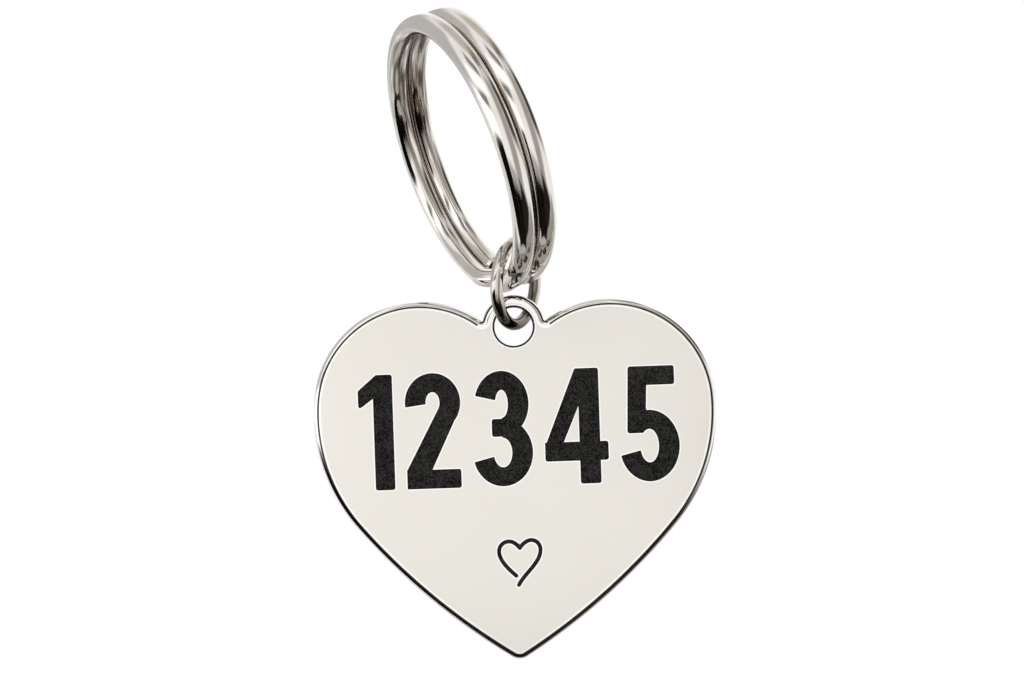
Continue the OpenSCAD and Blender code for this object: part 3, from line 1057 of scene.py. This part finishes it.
# %% [markdown]
# ## The filling of the numbers
# The filling is a thin body in each recess. Painting the recess's floor black would be simpler, but
# the filling stands only a little below the face, and its surface there is what the eye sees. The wall above
# it throws a narrow shadow on it, as in the photograph.

# %% Filling of the numbers
FILL_TOP = 0.07
FILL_CLEAR = 0.01
number_fill = Skin()
inner_loops = [moved_out(loop, -FILL_CLEAR) for loop in digit_loops]
for loop in inner_loops:
    top = plate_row(number_fill, loop, FILL_TOP)
    bottom = plate_row(number_fill, loop, RECESS_DEPTH)
    number_fill.join(bottom, top)
fill(number_fill, inner_loops, FILL_TOP)
fill(number_fill, inner_loops, RECESS_DEPTH, flip=True)
numbers = number_fill.build("number_filling", [filling])
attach(numbers, "tag")

# %% Filling of the line heart
line_heart = frame["nodes"]["heart_line_enamel"]
line_heart.data.materials.clear()
line_heart.data.materials.append(filling)
print(line_heart.name, "is finished with", filling.name)

# %% [markdown]
# ## The light tent
# Polished wire shows the whole room, so the room is built as a photographer builds it: white all round, a
# black table low in front, grey scrims above and beside, and white softboxes. The white comes from the
# world. A picture of a room could light it too, but panels can be moved one at a time until each streak lies
# where the photograph has it. Their edges fade out, because a hard edge would draw a hard line along every
# wire. Only reflections see them. The floor lies far below, as plain and pale as the rest.

# %% World
world = bpy.data.worlds.new("white_tent")
bpy.context.scene.world = world
world.use_nodes = True
world.node_tree.nodes["Background"].inputs["Color"].default_value = (1, 1, 1, 1)
world.node_tree.nodes["Background"].inputs["Strength"].default_value = 1.0
print("world:", world.name)

# %% Floor
# Its paint is lifted to white for the camera and for rays that come off or through the object.
FLOOR_Z = -360
FLOOR_HALF_W = 6000
FLOOR_LIFT = 0.16
floor_skin = Skin()
floor_corners = ((-1, -1), (1, -1), (1, 1), (-1, 1))
floor_skin.face(floor_skin.row([(x * FLOOR_HALF_W, y * FLOOR_HALF_W, FLOOR_Z) for x, y in floor_corners]))
floor_paint = bpy.data.materials.new("pale_floor")
floor_paint.use_nodes = True
floor_tree = floor_paint.node_tree
floor_shader = floor_tree.nodes["Principled BSDF"]
floor_shader.inputs["Base Color"].default_value = (0.9, 0.9, 0.9, 1)
floor_shader.inputs["Roughness"].default_value = 0.9
floor_shader.inputs["Specular IOR Level"].default_value = 0.0
floor_shader.inputs["Emission Color"].default_value = (1, 1, 1, 1)
light_path = add(floor_tree, "ShaderNodeLightPath")
seen = light_path.outputs["Is Camera Ray"]
for ray in ("Is Glossy Ray", "Is Transmission Ray"):
    either = add(floor_tree, "ShaderNodeMath", operation="MAXIMUM")
    floor_tree.links.new(seen, either.inputs[0])
    floor_tree.links.new(light_path.outputs[ray], either.inputs[1])
    seen = either.outputs[0]
lift = add(floor_tree, "ShaderNodeMath", operation="MULTIPLY")
lift.inputs[1].default_value = FLOOR_LIFT
floor_tree.links.new(seen, lift.inputs[0])
floor_tree.links.new(lift.outputs[0], floor_shader.inputs["Emission Strength"])
floor = floor_skin.build("studio_floor", [floor_paint])

# %% Scrims with soft edges
def scrim_material(name, colour):
    """Light of one colour that fades to clear where the mesh says so."""
    material = bpy.data.materials.new(name)
    material.use_nodes = True
    tree = material.node_tree
    tree.nodes.remove(tree.nodes["Principled BSDF"])
    glow = add(tree, "ShaderNodeEmission")
    glow.inputs["Color"].default_value = (*colour, 1)
    clear = add(tree, "ShaderNodeBsdfTransparent")
    fade = add(tree, "ShaderNodeAttribute", attribute_name="fade")
    mix = add(tree, "ShaderNodeMixShader")
    tree.links.new(fade.outputs["Fac"], mix.inputs[0])
    tree.links.new(clear.outputs[0], mix.inputs[1])
    tree.links.new(glow.outputs[0], mix.inputs[2])
    tree.links.new(mix.outputs[0], tree.nodes["Material Output"].inputs["Surface"])
    return material


# %% A curved panel, seen from the middle of the tent
TENT_MIDDLE = Vector((7, 1, -22))


def scrim(name, colour, azimuths, heights, edge, distance, slope=0, across=40, up=24):
    """A curved panel round the object. Azimuth 0 is towards the viewer and 90 to the right. Heights are
    angles, and slope raises them along the azimuth. The light fades out over the width of the edge."""
    wide = azimuths[1] - azimuths[0]
    high = heights[1] - heights[0]
    points = []
    fades = []
    for j in range(up + 1):
        for i in range(across + 1):
            azimuth = azimuths[0] + wide * i / across
            height = heights[0] + high * j / up
            side = 1 if wide >= 360 else eased(wide * min(i, across - i) / across / edge)
            below = 1 if heights[0] <= -90 else eased((height - heights[0]) / edge)
            above = 1 if heights[1] >= 90 else eased((heights[1] - height) / edge)
            turn = radians(azimuth)
            rise = radians(height + slope * (i / across - 0.5))
            way = Vector((sin(turn) * cos(rise), -cos(turn) * cos(rise), sin(rise)))
            points.append(TENT_MIDDLE + distance * way)
            fades.append(side * below * above)
    row = across + 1
    corners = [j * row + i for j in range(up) for i in range(across)]
    faces = [(k, k + 1, k + row + 1, k + row) for k in corners]
    mesh = bpy.data.meshes.new(name)
    mesh.from_pydata([p * MM for p in points], [], faces)
    mesh.attributes.new("fade", "FLOAT", "POINT").data.foreach_set("value", fades)
    mesh.materials.append(scrim_material(name, colour))
    panel = bpy.data.objects.new(name, mesh)
    bpy.context.scene.collection.objects.link(panel)
    panel.visible_camera = False
    panel.visible_diffuse = False
    panel.visible_shadow = False


# %% The scrims, flags, tables and softboxes
WARM = (1.0, 0.95, 0.88)
PALE_BROWN = (1.0, 0.75, 0.6)
BROWN = (1.0, 0.7, 0.55)
RED_BROWN = (1.0, 0.55, 0.4)


def grey(level, tint=(1, 1, 1)):
    """A grey of one level, or that grey with a tint."""
    return [level * t for t in tint]


scrim("top_scrim", grey(0.60, WARM), (-180, 180), (58, 90), edge=20, distance=340)
scrim("right_scrim", grey(0.42, WARM), (14, 70), (-34, 62), edge=16, distance=335)
scrim("left_scrim", grey(0.55), (-160, -60), (-10, 66), edge=18, distance=335)
scrim("right_flag", grey(0.06, WARM), (56, 116), (8, 66), edge=18, distance=325)
scrim("top_right_flag", grey(0.22, WARM), (20, 130), (54, 82), edge=14, distance=328)
scrim("left_rail", grey(0.26), (-60, -14), (-1, 17), edge=7, distance=330, slope=14)
scrim("front_rail", grey(0.26), (-40, 14), (36, 60), edge=10, distance=330)
scrim("back_scrim", grey(0.50), (112, 262), (-90, -4), edge=14, distance=335)
scrim("back_right_table", grey(0.36, WARM), (84, 128), (-80, -8), edge=12, distance=330)
scrim("back_left_table", grey(0.8), (-146, -92), (-54, -8), edge=7, distance=330)
scrim("front_haze", grey(0.48), (-32, 34), (-52, -22), edge=12, distance=325)
scrim("dark_table", grey(0.006, RED_BROWN), (-40, 96), (-90, -36), edge=14, distance=318)
scrim("right_table", grey(0.02, PALE_BROWN), (20, 96), (-90, -17), edge=16, distance=316)
scrim("black_table", grey(0.004), (-96, -26), (-90, -15), edge=4, distance=312)
scrim("under_table", grey(0.01, BROWN), (-112, 118), (-90, -62), edge=10, distance=310)
scrim("left_softbox", grey(1.4), (-92, -16), (-17, 5), edge=4, distance=322)
scrim("high_softbox", grey(1.35), (-62, 10), (15, 39), edge=7, distance=322, slope=18)
scrim("back_softbox", grey(1.25), (112, 172), (0, 54), edge=14, distance=322)
scrim("back_left_softbox", grey(1.35), (-176, -142), (24, 52), edge=9, distance=322)

# %% Key lamp: a soft lamp that gives the engraving its small shadows
KEY_W = 200
KEY_POWER = 0.3
KEY_PLACE = Vector((-160, -220, 160))
KEY_AIM = Vector((7, 0, -20))
key = bpy.data.lights.new("key_softbox", "AREA")
key.shape = "RECTANGLE"
key.size = KEY_W * MM
key.size_y = KEY_W * MM
key.energy = KEY_POWER
key_lamp = bpy.data.objects.new("key_softbox", key)
bpy.context.scene.collection.objects.link(key_lamp)
key_lamp.location = KEY_PLACE * MM
key_lamp.rotation_euler = (KEY_AIM - KEY_PLACE).to_track_quat("-Z", "Y").to_euler()
key_lamp.visible_glossy = False
print("key lamp at", [round(v, 3) for v in key_lamp.location])

# %% View settings
bpy.context.scene.view_settings.view_transform = "Standard"
